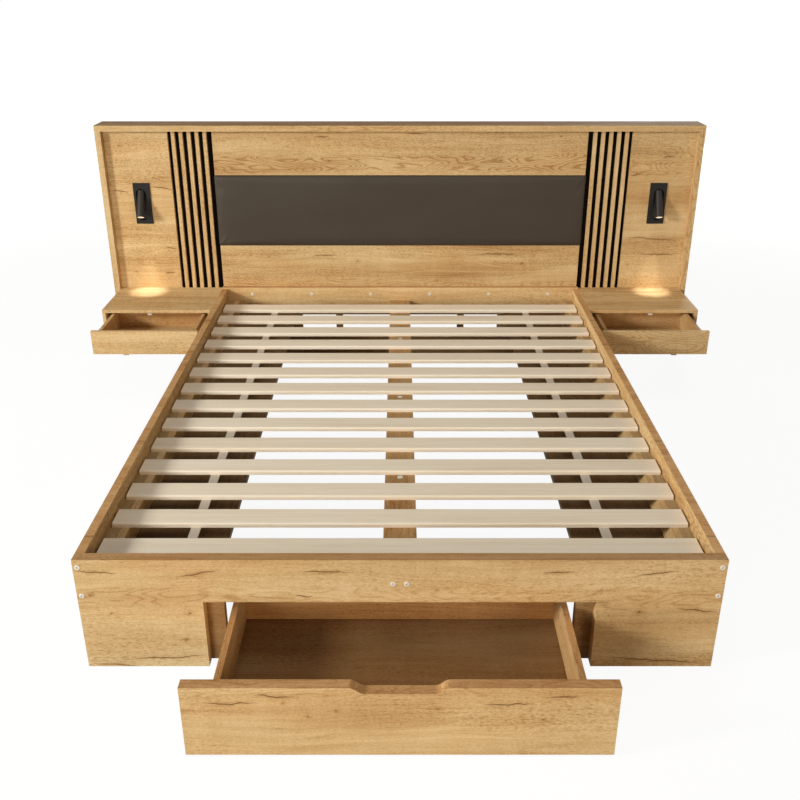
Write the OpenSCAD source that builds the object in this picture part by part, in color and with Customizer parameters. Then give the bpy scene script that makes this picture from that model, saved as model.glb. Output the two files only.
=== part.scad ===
// Slatted bed with a framed headboard, two nightstands fixed beside it, a rolling
// drawer in the foot end and two folding reading lamps.
// +X is the right of someone who looks at the footboard, +Y points at the wall, +Z up.
// The origin lies on the floor, in the middle of the whole object with its drawers open.

/* [Mattress and frame] */
// Width of the mattress
mattress_w = 1400; // [1200:10:1800]
// Length of the mattress
mattress_l = 1900; // [1800:10:2100]
// Room between the mattress and the frame on each side
mattress_gap = 5; // [2:1:12]
// Thickness of the rails and of the headboard's boards
board_t = 22; // [18:1:25]
// Thickness of the footboard
footboard_t = 28; // [27:1:36]
// Height of the rails and the footboard
rail_h = 296; // [290:1:320]

/* [Foot end] */
// Width of the drawer's opening in the footboard
cutout_w = 890; // [840:10:1000]
// Height of the drawer's opening in the footboard
cutout_h = 183; // [175:1:200]
// How far the inner boards reach behind the opening, as the drawer's stop
stop_lap = 41; // [25:1:60]
// Height of the inner boards that carry the side decks
support_h = 180; // [150:1:186]
// How far the side decks stand back from the inner boards' edges
deck_inset = 22; // [5:1:60]
// Thickness of the side decks
deck_t = 16; // [12:1:20]

/* [Foot drawer] */
// How far the foot drawer stands open
drawer_open = 277; // [0:1:320]
// Depth of the foot drawer, from its face to its back
drawer_l = 393; // [360:1:430]
// Play between the closed drawer's front and the inner boards
stop_play = 2; // [1:0.5:5]
// Thickness of the foot drawer's sides and back
drawer_side_t = 14; // [12:1:18]
// Thickness of the foot drawer's bottom
drawer_bottom_t = 8; // [4:1:10]
// Gap between the foot drawer's front and its opening
drawer_gap = 2; // [1:0.5:4]
// Gap between the foot drawer's front and the floor
floor_gap = 5; // [2:1:12]
// Gap between the foot drawer's sides and the inner boards
guide_gap = 20; // [12:1:40]
// How far the foot drawer's sides reach below its bottom
side_under = 5; // [2:1:8]
// How far the foot drawer's sides end below the top of its front
side_drop = 26; // [10:1:40]
// Length of the grip notch along the top of the front
grip_w = 204; // [120:1:300]
// Depth of the grip notch
grip_drop = 15; // [8:1:24]
// Length of each curved end of the grip notch
grip_end = 31; // [12:1:50]

/* [Rollers] */
// Diameter of the drawer's rollers
roller_d = 40; // [32:1:44]
// Width of the rollers
roller_w = 16; // [10:1:24]
// Room between a roller and the bracket above it
roller_room = 6; // [3:1:10]
// Distance of the rollers' middles from the outside of the drawer's sides
roller_inset_x = 60; // [40:1:90]
// Distance of the rollers' axles from the drawer's front and back
roller_inset_y = 50; // [30:1:90]
// Diameter of the rollers' axles
axle_d = 6; // [4:0.5:8]
// Thickness of the roller brackets
bracket_t = 3; // [2:0.5:4]
// Length of the roller brackets
bracket_l = 20; // [14:1:26]
// Gap between a roller and its bracket on each side
bracket_gap = 1; // [0.5:0.5:3]
// Radial clearance between a turning piece and its pin
pin_gap = 0.05; // [0.03:0.01:0.09]

/* [Slatted base] */
// Number of slats
slat_count = 14; // [10:1:15]
// Width of a slat
slat_w = 70; // [50:1:80]
// Thickness of a slat
slat_t = 12; // [8:1:18]
// Depth of the slats' top below the rails' top
slat_drop = 37; // [20:1:50]
// Gap between the slats' ends and the rails
slat_end_gap = 5; // [2:1:15]
// Gap between the footboard and the first slat
slat_foot_gap = 51; // [30:1:90]
// Gap between the last slat and the head rail
slat_head_gap = 83; // [40:1:110]
// Width of the straps under the slats
strap_w = 24; // [15:1:40]
// Thickness of the straps
strap_t = 1.2; // [0.8:0.1:2]
// Distance of the straps from the middle
strap_x = 496; // [300:1:540]
// How far the straps reach beyond the outer slats
strap_over = 12; // [2:1:30]
// Width of the ledges that carry the slats' ends
ledge_w = 28; // [18:1:34]
// Width of the liner strips beside the ledges
liner_w = 19; // [12:1:24]
// Width of the centre beam
beam_w = 80; // [60:1:100]
// Height of the centre beam
beam_h = 30; // [20:1:36]
// Distance of the outer centre legs from the frame's ends
leg_inset = 435; // [430:1:500]
// Width of a centre leg
leg_w = 44; // [30:1:50]

/* [Headboard] */
// Height of the headboard
head_h = 944; // [930:1:1200]
// How far the frame stands out in front of the panels
frame_reach = 22; // [10:1:40]
// Depth of the headboard's frame
frame_depth = 115; // [70:1:150]
// Thickness of the headboard's panels
panel_t = 22; // [18:1:25]
// Height at which the headboard's side boards end above the floor
side_clear = 5; // [2:1:60]
// Height at which the panels behind the nightstands end above the floor
panel_clear = 154; // [100:1:174]
// How far the middle panels end inside the bed's width
centre_inset = 3; // [2:1:20]
// Width of each group of upright strips
strip_zone = 171; // [155:1:180]
// Number of upright strips in each group
strip_count = 5; // [3:1:5]
// Width of an upright strip
strip_w = 14; // [8:1:18]
// Distance between the strips
strip_pitch = 30.6; // [24:0.1:32]
// Gap between the outer panel and the first strip
strip_gap = 14; // [6:1:20]
// Thickness of the dark boards behind the strips
backing_t = 8; // [4:1:10]
// Height of the lower end of the head rail
head_rail_z = 186; // [180:1:200]
// How far the head rail stands above the side rails
head_rail_rise = 6; // [2:1:20]
// Height of the cross rail at the floor under the headboard
cross_h = 95; // [60:1:120]
// Width of the posts between the cross rail and the head rail
post_w = 27; // [20:1:40]
// Distance of the posts' inner faces from the middle
post_x = 237; // [150:1:300]

/* [Headboard pad] */
// Height of the pad's lower edge above the floor
pad_z = 472; // [400:1:520]
// Height of the pad
pad_h = 281; // [200:1:320]
// Thickness of the pad at its edge
pad_edge = 16; // [12:1:22]
// How far the pad's middle stands out beyond its edge
pad_crown = 9; // [4:1:16]
// How far the pad reaches beyond the panels on each side
pad_over = 4; // [1:1:8]
// How far the pad's sides draw in between its corners
pad_draw = 2; // [1:0.5:4]
// Gap between the pad and the panels above and below it
pad_gap = 1; // [0.5:0.5:3]
// Thickness of the board that carries the pad
pad_board_t = 8; // [4:1:9]

/* [Nightstands] */
// Width of a nightstand
stand_w = 417; // [390:1:500]
// Depth of a nightstand
stand_d = 283; // [260:1:320]
// Height of a nightstand's case
stand_h = 116; // [105:1:150]
// Thickness of a nightstand's boards
stand_t = 12; // [10:1:16]
// How far the nightstand drawers stand open
stand_open = 199; // [0:1:205]
// Gap behind a closed nightstand drawer
tray_back_gap = 17; // [8:1:30]
// Thickness of a nightstand drawer's front
tray_front_t = 14; // [10:1:16]
// Thickness of a nightstand drawer's sides and back
tray_side_t = 12; // [8:1:14]
// Thickness of a nightstand drawer's bottom
tray_bottom_t = 5; // [3:1:6]
// Gap around a nightstand drawer's front
tray_gap = 1.5; // [1:0.5:3]
// How far a nightstand drawer's sides end below the case's top board
tray_drop = 6; // [4:1:12]
// How far its back ends below the case's top board
tray_back_drop = 19; // [17:1:30]
// Room under a nightstand drawer's sides
tray_lift = 7; // [4:1:12]
// How far a nightstand drawer's bottom sits above its sides' lower edges
tray_bottom_rise = 4; // [2:1:8]
// Width of the buffer under the case's top board
buffer_w = 15; // [8:1:24]
// Depth of the buffer
buffer_d = 12; // [6:1:20]
// Gap between the closed drawer's front and the buffer
buffer_gap = 0.5; // [0.5:0.5:3]
// Height of the buffer
buffer_h = 13.5; // [8:0.5:15]
// How far the buffer sits outside the drawer's middle
buffer_shift = 31; // [0:1:60]

/* [Runners] */
// Room for a runner beside a nightstand drawer
runner_gap = 13; // [12:0.5:16]
// Thickness of the packers that carry the outer runners
packer_t = 10; // [6:1:16]
// Gap behind the drawer's front, in front of a runner
runner_front_gap = 1; // [1:0.5:5]
// Gap behind a runner
runner_back_gap = 28; // [20:1:40]
// Height of a runner
runner_h = 36; // [24:1:44]
// Thickness of a runner's metal
runner_t = 1.5; // [1:0.5:2]
// Clearance between the two halves of a runner
runner_fit = 0.5; // [0.3:0.1:1]

/* [Reading lamps] */
// Width of a lamp's plate
plate_w = 66; // [50:1:80]
// Height of a lamp's plate
plate_h = 161; // [140:1:190]
// Thickness of a lamp's plate
plate_t = 4; // [2:0.5:6]
// Height of a lamp's middle above the floor
lamp_z = 643; // [560:1:700]
// Distance of a lamp from the headboard's side board
lamp_inset = 128; // [80:1:150]
// Height of a lamp's recess
slot_h = 125; // [122:1:150]
// How far the recess sits below the middle of the plate
slot_drop = 5.5; // [0:0.5:10]
// How far the recess sits outside the middle of the plate
slot_shift = 4; // [0:1:8]
// Diameter of a lamp's tube
tube_d = 30; // [22:1:32]
// Length of a lamp's tube
tube_l = 105; // [80:1:106]
// Wall of a lamp's tube
tube_wall = 2; // [1.5:0.5:3]
// Angle at which a lamp stands out from the headboard
lamp_tilt = 28; // [0:1:60]
// Gap between a lamp's tube and its recess
lamp_gap = 5; // [2:0.5:6]
// Wall of a lamp's recess
can_t = 1.5; // [1:0.5:2]
// Gap between the turning tube and the recess's back
can_gap = 1; // [0.5:0.5:2]
// Gap between a lamp's recess and its hole in the panel
can_fit = 0.5; // [0.3:0.1:1]
// Diameter of the pins that a lamp's tube turns on
pivot_d = 3; // [2:0.5:4]
// Distance of those pins from the tube's upper end
pivot_drop = 8; // [6:1:10]
// Depth of those pins behind the panel's face
pivot_depth = 2.5; // [2.5:0.5:4]
// Play at the end of each pin
pin_end_gap = 0.4; // [0.2:0.1:0.6]
// Distance of a lamp's lens from the tube's lower end
lens_inset = 1; // [0.5:0.5:6]
// Thickness of a lamp's lens
lens_t = 2; // [1:0.5:4]

/* [Screws and bolts] */
// Diameter of the caps on the screws
cap_d = 13; // [10:0.5:16]
// How far a cap stands out
cap_rise = 1; // [0.5:0.1:2]
// Bevel round a cap's edge
cap_bevel = 1; // [0.5:0.1:1.5]
// Width across the flats of the hexagon sockets
socket_w = 5; // [3:0.5:7]
// Depth of the hexagon sockets
socket_depth = 2.5; // [1:0.1:2.6]
// Depth of a cap's seat
cap_seat = 3; // [2:0.5:5]
// Diameter of a screw's shank
shank_d = 7; // [5:0.5:8]
// How far a screw reaches into the second board
screw_grip = 18; // [12:1:18]
// Radial clearance around a screw
screw_gap = 0.1; // [0.05:0.05:0.3]
// Diameter of the heads of the bolts in the centre beam
bolt_head_d = 16; // [12:1:18]
// Height of those heads
bolt_head_h = 3; // [2.9:0.1:3.5]
// Diameter of the sinks that those heads lie in
bolt_sink_d = 21; // [19:1:26]
// Depth of those sinks
bolt_sink = 4; // [3.5:0.5:8]
// Distance between the two screws of the centre beam
beam_screw_pitch = 31; // [20:1:50]
// Drop of the upper screws below the rails' top
upper_screw_drop = 20; // [15:1:60]
// Distance between the upper and the lower screws of a rail
rail_screw_pitch = 76; // [50:1:150]
// Number of screws through the head rail
head_screw_count = 6; // [2:1:8]
// Distance between the screws through the head rail
head_screw_pitch = 242; // [150:1:250]
// Drop of those screws below the rails' top
head_screw_drop = 21; // [15:1:60]

/* [Hidden] */
$fn = 48;

oak = "burlywood";
birch = "antiquewhite";
dark = "#161413";
steel = "lightgrey";

// How far a cut reaches beyond the board it goes through
over = 1;

// Bed frame
inner_w = mattress_w + 2 * mattress_gap;
inner_l = mattress_l + 2 * mattress_gap;
inner_half = inner_w / 2;
bed_half = inner_half + board_t;
total_l = drawer_open + footboard_t + inner_l + board_t - frame_reach + frame_depth;
front_y = -total_l / 2;
foot_y = front_y + drawer_open;
inner_y = foot_y + footboard_t;
head_y = inner_y + inner_l;
panel_y = head_y + board_t;
panel_back = panel_y + panel_t;
frame_y = panel_y - frame_reach;
rear_y = frame_y + frame_depth;
inner_board_x = cutout_w / 2 - stop_lap;
drawer_front_t = footboard_t - stop_play;
deck_z = support_h + deck_t;
slat_z = rail_h - slat_drop;
slat_under = slat_z - slat_t;
slat_pitch = (inner_l - slat_foot_gap - slat_head_gap - slat_w) / (slat_count - 1);
slat_round = slat_t * 0.42;
ledge_x = inner_half - ledge_w;
liner_x = ledge_x - liner_w;
beam_z = slat_under - beam_h;
leg_y = [inner_y + leg_inset, (inner_y + head_y) / 2, head_y - leg_inset];
rail_screw_x = inner_half + board_t / 2;
upper_screw_z = rail_h - upper_screw_drop;
head_screw_z = rail_h - head_screw_drop;
head_rail_top = rail_h + head_rail_rise;

// Headboard
centre_half = bed_half - centre_inset;
side_x = bed_half + stand_w;
head_half = side_x + board_t;
top_z = head_h - board_t;
wing_x = centre_half + strip_zone;
pad_top = pad_z + pad_h;
pad_back_y = panel_back - pad_board_t;
backing_y = panel_back - backing_t;
strip_first = wing_x - strip_gap - strip_w;

// Foot drawer
cutout_half = cutout_w / 2;
front_half = cutout_half - drawer_gap;
front_top = cutout_h - drawer_gap;
drawer_half = inner_board_x - guide_gap;
drawer_side_top = front_top - side_drop;
bracket_top = roller_d + roller_room + bracket_t;
bottom_under = bracket_top;
drawer_side_low = bottom_under - side_under;
drawer_back_y = front_y + drawer_l - drawer_side_t;
roller_x = drawer_half - roller_inset_x;
roller_front_y = front_y + drawer_front_t + roller_inset_y;
roller_rear_y = drawer_back_y - roller_inset_y;
cheek_w = roller_w + 2 * bracket_gap;

// Nightstands
stand_y = panel_y - stand_d;
stand_low = rail_h - stand_h;
case_low = stand_low + stand_t;
case_top = rail_h - stand_t;
case_in = bed_half + stand_t;
case_out = side_x - stand_t;
packer_x = case_out - packer_t;
tray_y = stand_y - stand_open;
tray_in = case_in + runner_gap;
tray_out = packer_x - runner_gap;
tray_rear = panel_y - tray_back_gap - stand_open;
tray_side_low = case_low + tray_lift;
tray_side_top = case_top - tray_drop;
tray_back_top = case_top - tray_back_drop;
tray_bottom_z = tray_side_low + tray_bottom_rise;
runner_z = (tray_side_low + tray_side_top) / 2;
runner_y = stand_y + tray_front_t + runner_front_gap;
runner_l = panel_y - runner_back_gap - runner_y;
tray_runner_y = runner_y - stand_open;
buffer_x = (case_in + case_out) / 2 + buffer_shift;

// Reading lamps
lamp_x = side_x - lamp_inset;
slot_x = lamp_x + slot_shift;
slot_z = lamp_z - slot_drop;
slot_w = tube_d + 2 * lamp_gap;
can_w = slot_w + 2 * can_t;
can_h = slot_h + 2 * can_t;
swing_r = sqrt(pow(pivot_drop, 2) + pow(tube_d / 2, 2));
can_d = pivot_depth + swing_r + can_gap + can_t;
pivot_y = panel_y + pivot_depth;
pivot_z = slot_z + tube_l / 2 - pivot_drop;
pivot_bite = can_t - pin_end_gap;

// A board between two corners
module board(x, y, z) {
    translate([x[0], y[0], z[0]]) cube([x[1] - x[0], y[1] - y[0], z[1] - z[0]]);
}

// The same thing on the right and, mirrored, on the left
module both() {
    children();
    mirror([1, 0, 0]) children();
}

// side 1 is the right, side -1 the left
module on_side(side) {
    if (side > 0) children();
    else mirror([1, 0, 0]) children();
}

// A hexagon socket that opens towards -Z at z = 0
module socket() {
    translate([0, 0, -over])
        cylinder(d = socket_w / cos(30), h = socket_depth + over, $fn = 6);
}

// A screw with a cap, which points along +Y from the board's face at y = 0
module capped_screw(length) {
    rotate([-90, 0, 0]) difference() {
        union() {
            translate([0, 0, -cap_rise])
                cylinder(d1 = cap_d - 2 * cap_bevel, d2 = cap_d, h = cap_rise);
            cylinder(d = cap_d, h = cap_seat);
            cylinder(d = shank_d, h = length);
        }
        translate([0, 0, -cap_rise]) socket();
    }
}

// The hole that such a screw sits in
module screw_hole(length) {
    rotate([-90, 0, 0]) {
        translate([0, 0, -over]) cylinder(d = cap_d + 2 * screw_gap, h = cap_seat + over);
        cylinder(d = shank_d + 2 * screw_gap, h = length);
    }
}

// Where the screws through the footboard are
module at_frame_bolts() {
    for (z = [upper_screw_z, upper_screw_z - rail_screw_pitch])
        both() translate([rail_screw_x, foot_y, z]) children();
    both() translate([beam_screw_pitch / 2, foot_y, beam_z + beam_h / 2]) children();
}

frame_bolt_l = footboard_t + screw_grip;

// Where the screws through the head rail are
module at_head_screws() {
    for (k = [0 : head_screw_count - 1])
        translate([(k - (head_screw_count - 1) / 2) * head_screw_pitch, head_y, head_screw_z])
            children();
}

head_screw_l = board_t + screw_grip;

// Where the bolts from the centre beam into its legs are, pointing down
module at_beam_bolts() {
    for (y = leg_y) translate([0, y, slat_under]) rotate([-90, 0, 0]) children();
}

beam_bolt_l = beam_h + screw_grip;

// The hole for such a bolt, whose head is sunk because slats can lie over it
module bolt_hole(length) {
    rotate([-90, 0, 0]) {
        translate([0, 0, -over]) cylinder(d = bolt_sink_d, h = bolt_sink + over);
        cylinder(d = shank_d + 2 * screw_gap, h = length);
    }
}

// Frame of the headboard
module headboard_top() {
    color(oak) board([-head_half, head_half], [frame_y, rear_y], [top_z, head_h]);
}

module headboard_side(side) {
    color(oak) on_side(side)
        board([side_x, head_half], [frame_y, rear_y], [side_clear, top_z]);
}

// Panels of the headboard
module wing_panel(side) {
    color(oak) on_side(side) difference() {
        board([wing_x, side_x], [panel_y, panel_y + panel_t], [panel_clear, top_z]);
        translate([slot_x, panel_y - over, slot_z])
            slot(can_w + 2 * can_fit, can_h + 2 * can_fit, panel_t + 2 * over);
    }
}

module upper_panel() {
    color(oak)
        board([-centre_half, centre_half], [panel_y, panel_y + panel_t], [pad_top, top_z]);
}

module lower_panel() {
    color(oak) difference() {
        board([-centre_half, centre_half], [panel_y, panel_y + panel_t],
            [head_rail_z, pad_z]);
        at_head_screws() screw_hole(head_screw_l + over);
    }
}

module strip_backings() {
    color(dark) both()
        board([centre_half, wing_x], [backing_y, backing_y + backing_t], [panel_clear, top_z]);
}

module decor_strips() {
    color(oak) both() for (k = [0 : strip_count - 1])
        board([strip_first - k * strip_pitch, strip_first - k * strip_pitch + strip_w],
            [panel_y, backing_y], [rail_h, top_z]);
}

// Upholstered pad and the board that carries it
pad_half_w = centre_half + pad_over;
pad_half_h = pad_h / 2 - pad_gap;
pad_cols = 14;
pad_rows = 7;

// Steps across the pad, finer towards its edges
function pad_step(k, n) = sin(90 * k / n);

// How far an edge is drawn in at a share t of its half length
function pad_pull(t) = pad_draw * (1 - t * t);

// Bulge of the pad at the shares u and v of its half width and half height
function pad_bulge(u, v) = pad_crown * pow((1 - pow(abs(u), 24)) * (1 - pow(abs(v), 6)), 0.5);

function pad_point(i, j, y) = let (u = pad_step(i, pad_cols), v = pad_step(j, pad_rows))
    [u * (pad_half_w - pad_pull(v)), y, pad_z + pad_h / 2 + v * (pad_half_h - pad_pull(u))];

module headboard_pad() {
    nx = 2 * pad_cols + 1;
    nz = 2 * pad_rows + 1;
    front = [for (j = [-pad_rows : pad_rows]) for (i = [-pad_cols : pad_cols])
        pad_point(i, j, pad_back_y - pad_edge
            - pad_bulge(pad_step(i, pad_cols), pad_step(j, pad_rows)))];
    rim = concat([for (i = [0 : nx - 2]) i],
        [for (j = [0 : nz - 2]) j * nx + nx - 1],
        [for (i = [nx - 1 : -1 : 1]) (nz - 1) * nx + i],
        [for (j = [nz - 1 : -1 : 1]) j * nx]);
    back = [for (k = rim) [front[k][0], pad_back_y, front[k][2]]];
    n = nx * nz;
    m = len(rim);
    skin = [for (j = [0 : nz - 2]) for (i = [0 : nx - 2]) let (a = j * nx + i)
        each [[a, a + nx, a + nx + 1], [a, a + nx + 1, a + 1]]];
    wall = [for (k = [0 : m - 1]) let (a = rim[k], b = rim[(k + 1) % m])
        each [[a, b, n + (k + 1) % m], [a, n + (k + 1) % m, n + k]]];
    rest = [for (k = [0 : m - 1]) [n + k, n + (k + 1) % m, n + m]];
    color("#473f37") polyhedron(
        points = concat(front, back, [[0, pad_back_y, pad_z + pad_h / 2]]),
        faces = concat(skin, wall, rest), convexity = 4);
}

module pad_board() {
    color(oak) board([-centre_half, centre_half], [pad_back_y, panel_back], [pad_z, pad_top]);
}

// Lower end of the headboard, where the bed's frame is screwed on
module head_rail() {
    color(oak) difference() {
        board([-bed_half, bed_half], [head_y, panel_y], [head_rail_z, head_rail_top]);
        at_head_screws() screw_hole(head_screw_l);
    }
}

module head_rail_screws() {
    color(steel) at_head_screws() capped_screw(head_screw_l);
}

module head_end_panels() {
    color(oak) both()
        board([inner_board_x, bed_half], [head_y, panel_y], [0, head_rail_z]);
}

module head_end_frame() {
    color(oak) {
        board([-inner_board_x, inner_board_x], [head_y, panel_y], [0, cross_h]);
        both() board([post_x, post_x + post_w], [head_y, panel_y], [cross_h, head_rail_z]);
    }
}

// Rails and footboard
module side_rail(side) {
    color(oak) difference() {
        on_side(side) board([inner_half, bed_half], [inner_y, head_y], [0, rail_h]);
        at_frame_bolts() screw_hole(frame_bolt_l + over);
    }
}

module footboard() {
    color(oak) difference() {
        board([-bed_half, bed_half], [foot_y, inner_y], [0, rail_h]);
        board([-cutout_half, cutout_half], [foot_y - over, inner_y + over],
            [-over, cutout_h]);
        at_frame_bolts() screw_hole(frame_bolt_l);
    }
}

module frame_bolts() {
    color(steel) at_frame_bolts() capped_screw(frame_bolt_l);
}

module foot_inner_boards() {
    color(oak) both()
        board([inner_board_x, inner_half], [inner_y, inner_y + board_t], [0, support_h]);
}

module side_decks() {
    color(oak) both() board([inner_board_x + deck_inset, inner_half], [inner_y, head_y],
        [support_h, deck_z]);
}

// Slatted base
module slat_ledges() {
    color(birch) both()
        board([ledge_x, inner_half], [inner_y, head_y], [deck_z, slat_under]);
}

module ledge_liners() {
    color(oak) both() board([liner_x, ledge_x], [inner_y, head_y], [deck_z, slat_under]);
}

module centre_beam() {
    color(oak) difference() {
        board([-beam_w / 2, beam_w / 2], [inner_y, head_y], [beam_z, slat_under]);
        at_frame_bolts() screw_hole(frame_bolt_l + over);
        at_beam_bolts() bolt_hole(beam_bolt_l);
    }
}

module centre_legs() {
    color(oak) difference() {
        for (y = leg_y)
            board([-leg_w / 2, leg_w / 2], [y - leg_w / 2, y + leg_w / 2], [0, beam_z]);
        at_beam_bolts() bolt_hole(beam_bolt_l + over);
    }
}

module beam_bolts() {
    head_z = bolt_sink - bolt_head_h;
    color(steel) at_beam_bolts() rotate([-90, 0, 0]) difference() {
        union() {
            translate([0, 0, head_z]) cylinder(d = bolt_head_d, h = bolt_head_h);
            translate([0, 0, head_z]) cylinder(d = shank_d, h = beam_bolt_l - head_z);
        }
        translate([0, 0, head_z]) socket();
    }
}

// Outline of a slat: flat below, with rounded edges above
module slat_outline() {
    square([slat_w, slat_t - slat_round]);
    translate([slat_round, 0]) square([slat_w - 2 * slat_round, slat_t]);
    for (x = [slat_round, slat_w - slat_round])
        translate([x, slat_t - slat_round]) circle(r = slat_round);
}

module bed_slats() {
    slat_half = inner_half - slat_end_gap;
    color(birch) for (k = [0 : slat_count - 1])
        translate([-slat_half, inner_y + slat_foot_gap + k * slat_pitch, slat_under])
            rotate([90, 0, 90]) linear_extrude(2 * slat_half) slat_outline();
}

module slat_straps() {
    color(steel) both()
        board([strap_x - strap_w / 2, strap_x + strap_w / 2],
            [inner_y + slat_foot_gap - strap_over, head_y - slat_head_gap + strap_over],
            [slat_under - strap_t, slat_under]);
}

// Cases of the nightstands, between the rails and the headboard's side boards
module stand_plate(z) {
    board([bed_half, side_x], [stand_y, panel_y], z);
}

module nightstand_top(side) {
    color(oak) on_side(side) stand_plate([case_top, rail_h]);
}

module nightstand_sides() {
    color(oak) both() {
        board([bed_half, case_in], [stand_y, panel_y], [case_low, case_top]);
        board([case_out, side_x], [stand_y, panel_y], [case_low, case_top]);
    }
}

module nightstand_bottoms() {
    color(oak) both() stand_plate([stand_low, case_low]);
}

// Packers between the cases' outer sides and the outer runners
module runner_packers() {
    color(oak) both()
        board([packer_x, case_out], [runner_y, runner_y + runner_l],
            [runner_z - runner_h / 2, runner_z + runner_h / 2]);
}

module drawer_buffers() {
    buffer_y = stand_y + tray_front_t + buffer_gap;
    color("white") both()
        board([buffer_x - buffer_w / 2, buffer_x + buffer_w / 2], [buffer_y, buffer_y + buffer_d],
            [case_top - buffer_h, case_top]);
}

// Fixed half of a runner on a wall at x = 0, open towards +X
module channel() {
    translate([0, runner_y, runner_z - runner_h / 2]) difference() {
        cube([runner_gap - 2 * runner_t, runner_l, runner_h]);
        translate([runner_t, -over, runner_t])
            cube([runner_gap, runner_l + 2 * over, runner_h - 2 * runner_t]);
    }
}

// Moving half on a drawer's side at x = runner_gap, open towards the fixed one
module slider() {
    slider_h = runner_h - 2 * runner_t - 2 * runner_fit;
    translate([2 * runner_t, tray_runner_y, runner_z - slider_h / 2]) difference() {
        cube([runner_gap - 2 * runner_t, runner_l, slider_h]);
        translate([-runner_t, -over, runner_t])
            cube([runner_gap - 2 * runner_t, runner_l + 2 * over, slider_h - 2 * runner_t]);
    }
}

module fixed_runners() {
    color(steel) both() {
        translate([case_in, 0, 0]) channel();
        translate([packer_x, 0, 0]) mirror([1, 0, 0]) channel();
    }
}

// Foot drawer
module grip_outline() {
    steps = 8;
    end = [for (k = [0 : steps])
        [grip_w / 2 - grip_end * k / steps,
            front_top - grip_drop * (1 - cos(180 * k / steps)) / 2]];
    right = concat([[front_half, floor_gap], [front_half, front_top]], end);
    left = [for (k = [len(right) - 1 : -1 : 0]) [-right[k][0], right[k][1]]];
    polygon(concat(right, left));
}

module foot_drawer_front() {
    color(oak) translate([0, front_y + drawer_front_t, 0])
        rotate([90, 0, 0]) linear_extrude(drawer_front_t) grip_outline();
}

module foot_drawer_sides() {
    color(oak) both() board([drawer_half - drawer_side_t, drawer_half],
        [front_y + drawer_front_t, front_y + drawer_l], [drawer_side_low, drawer_side_top]);
}

module foot_drawer_back() {
    color(oak) board([drawer_side_t - drawer_half, drawer_half - drawer_side_t],
        [drawer_back_y, front_y + drawer_l], [drawer_side_low, drawer_side_top]);
}

module foot_drawer_bottom() {
    color(oak) board([drawer_side_t - drawer_half, drawer_half - drawer_side_t],
        [front_y + drawer_front_t, drawer_back_y],
        [bottom_under, bottom_under + drawer_bottom_t]);
}

// Brackets with their axles, and the rollers
module at_rollers() {
    for (y = [roller_front_y, roller_rear_y])
        both() translate([roller_x, y, roller_d / 2]) children();
}

module roller_brackets() {
    cheek_out = cheek_w / 2 + bracket_t;
    color(steel) at_rollers() {
        translate([-cheek_out, -bracket_l / 2, bracket_top - bracket_t - roller_d / 2])
            cube([2 * cheek_out, bracket_l, bracket_t]);
        for (x = [-cheek_out, cheek_w / 2])
            translate([x, -bracket_l / 2, -axle_d])
                cube([bracket_t, bracket_l, bracket_top + axle_d - roller_d / 2]);
        rotate([0, 90, 0]) cylinder(d = axle_d, h = 2 * cheek_out, center = true);
    }
}

module roller(side, y) {
    color("#2b2b2b") translate([side * roller_x, y, roller_d / 2]) rotate([0, 90, 0])
        difference() {
            cylinder(d = roller_d, h = roller_w, center = true);
            cylinder(d = axle_d + 2 * pin_gap, h = roller_w + 2 * over, center = true);
        }
}

// Drawers of the nightstands
module tray_front(side) {
    color(oak) on_side(side)
        board([case_in + tray_gap, case_out - tray_gap], [tray_y, tray_y + tray_front_t],
            [case_low + tray_gap, case_top - tray_gap]);
}

module tray_box(side) {
    color(oak) on_side(side) {
        for (x = [tray_in, tray_out - tray_side_t])
            board([x, x + tray_side_t], [tray_y + tray_front_t, tray_rear],
                [tray_side_low, tray_side_top]);
        board([tray_in + tray_side_t, tray_out - tray_side_t],
            [tray_rear - tray_side_t, tray_rear], [tray_side_low, tray_back_top]);
    }
}

module tray_bottom(side) {
    color(oak) on_side(side)
        board([tray_in + tray_side_t, tray_out - tray_side_t],
            [tray_y + tray_front_t, tray_rear - tray_side_t],
            [tray_bottom_z, tray_bottom_z + tray_bottom_t]);
}

module tray_runners(side) {
    color(steel) on_side(side) {
        translate([case_in, 0, 0]) slider();
        translate([packer_x, 0, 0]) mirror([1, 0, 0]) slider();
    }
}

// Reading lamps
// An upright slot with round ends, from y = 0 to y = depth, round the origin
module slot(w, h, depth) {
    rotate([-90, 0, 0]) linear_extrude(depth) {
        square([w, h - w], center = true);
        for (z = [-1, 1]) translate([0, z * (h - w) / 2]) circle(d = w);
    }
}

module lamp_plates() {
    color(dark) both() translate([lamp_x, panel_y - plate_t, lamp_z]) difference() {
        translate([-plate_w / 2, 0, -plate_h / 2]) cube([plate_w, plate_t, plate_h]);
        translate([slot_shift, -over, -slot_drop]) slot(slot_w, slot_h, plate_t + 2 * over);
    }
}

module lamp_cans() {
    color(dark) both() difference() {
        translate([slot_x, panel_y, slot_z]) difference() {
            slot(can_w, can_h, can_d);
            translate([0, -over, 0]) slot(slot_w, slot_h, can_d + over - can_t);
        }
        translate([slot_x, pivot_y, pivot_z]) rotate([0, 90, 0])
            cylinder(d = pivot_d + 2 * pin_gap, h = can_w + 2 * over, center = true);
    }
}

// The lamp's tube and lens, with the pivot's axis at the origin, turned out by the tilt
module at_lamp(side) {
    translate([side * slot_x, pivot_y, pivot_z]) rotate([-lamp_tilt, 0, 0]) children();
}

module lamp_tube(side) {
    color(dark) at_lamp(side) {
        difference() {
            translate([0, 0, pivot_drop - tube_l]) cylinder(d = tube_d, h = tube_l);
            translate([0, 0, pivot_drop - tube_l - over])
                cylinder(d = tube_d - 2 * tube_wall, h = tube_l - 2 * pivot_drop + over);
        }
        rotate([0, 90, 0]) cylinder(d = pivot_d, h = slot_w + 2 * pivot_bite, center = true);
    }
}

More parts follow.
